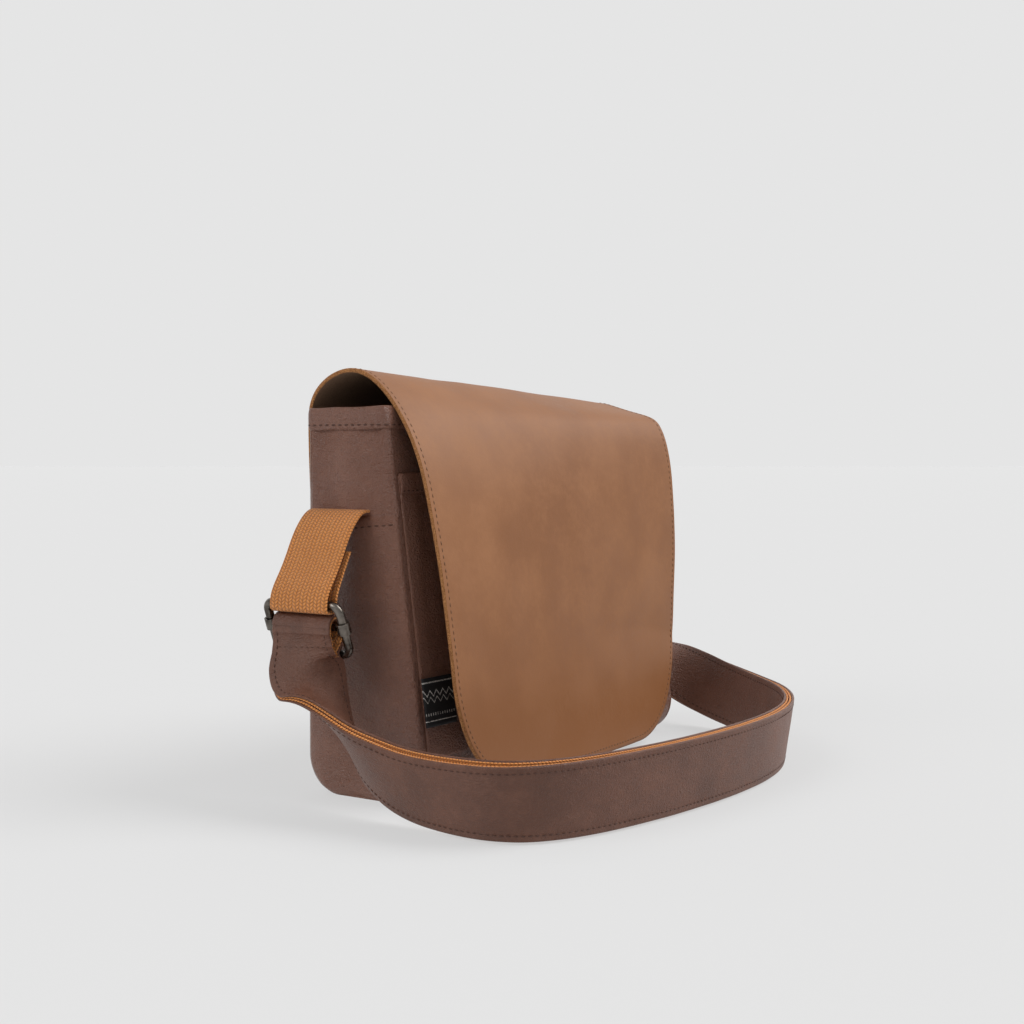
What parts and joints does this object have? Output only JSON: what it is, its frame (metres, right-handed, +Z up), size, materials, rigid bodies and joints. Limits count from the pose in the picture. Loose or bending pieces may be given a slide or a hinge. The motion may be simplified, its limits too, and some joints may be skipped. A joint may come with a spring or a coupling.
{
  "type": "sling bag",
  "caption": "Small flap-over sling bag with side gussets, front and inner slip pockets, sliding-bar buckle and a flat shoulder strap.",
  "frame": {"origin": "centre of the bag's footprint, on the surface it stands on", "axes": "+Z up, front flap faces -Y, +X to the right seen from the front with the buckle on -X"},
  "size_m": [0.3744, 0.2071, 0.224],
  "materials": {
    "body_leather": "soft grained brown leather",
    "flap_leather": "smooth tan leather, raw cut edge",
    "flap_backing": "thin bonded backing",
    "strap_leather": "smooth brown leather facing",
    "webbing": "tan woven webbing",
    "lining_fabric": "plain woven lining",
    "board": "stiff board",
    "label_fabric": "black woven tab, plain woven pattern",
    "buckle_metal": "dark antique nickel",
    "catch_metal": "plated magnet shell"
  },
  "bodies": {
    "bag": {"back_panel": "body_leather", "front_panel": "body_leather", "bottom_panel": "body_leather", "left_gusset": "body_leather", "right_gusset": "body_leather", "left_gusset_patch": "body_leather", "right_gusset_patch": "body_leather", "left_hem": "body_leather", "right_hem": "body_leather", "front_hem": "body_leather", "back_yoke": "flap_leather", "lining": "lining_fabric", "base_board": "board", "front_pocket": "body_leather", "pocket_hem": "body_leather", "inner_pocket": "lining_fabric", "inner_pocket_hem": "lining_fabric", "pocket_magnet_left": "catch_metal", "pocket_magnet_right": "catch_metal", "woven_label": "label_fabric"},
    "flap": {"flap_leather": "flap_leather", "flap_lining": "flap_backing", "flap_magnet_left": "catch_metal", "flap_magnet_right": "catch_metal"},
    "strap": {"left_webbing": "webbing", "right_webbing": "webbing", "buckle_frame": "buckle_metal", "right_ring": "buckle_metal", "strap_leather": "strap_leather", "strap_webbing": "webbing", "strap_back_leather": "strap_leather", "strap_back_webbing": "webbing", "left_end_turn": "strap_leather", "right_end_turn": "strap_leather"},
    "bar": {"buckle_bar": "buckle_metal"}
  },
  "joints": [
    {"name": "flap_hinge", "type": "hinge", "parent": "bag", "child": "flap", "pos_m": [0, 0.045, 0.199], "axis": [-1, 0, 0], "range_deg": [0, 150]},
    {"name": "strap_swing", "type": "hinge", "parent": "bag", "child": "strap", "pos_m": [0, 0.0175, 0.15], "axis": [-1, 0, 0], "range_deg": [0, 120]},
    {"name": "bar_slide", "type": "slide", "parent": "strap", "child": "bar", "axis": [0.3584, 0, -0.9336], "range_m": [0, 0.002]}
  ]
}
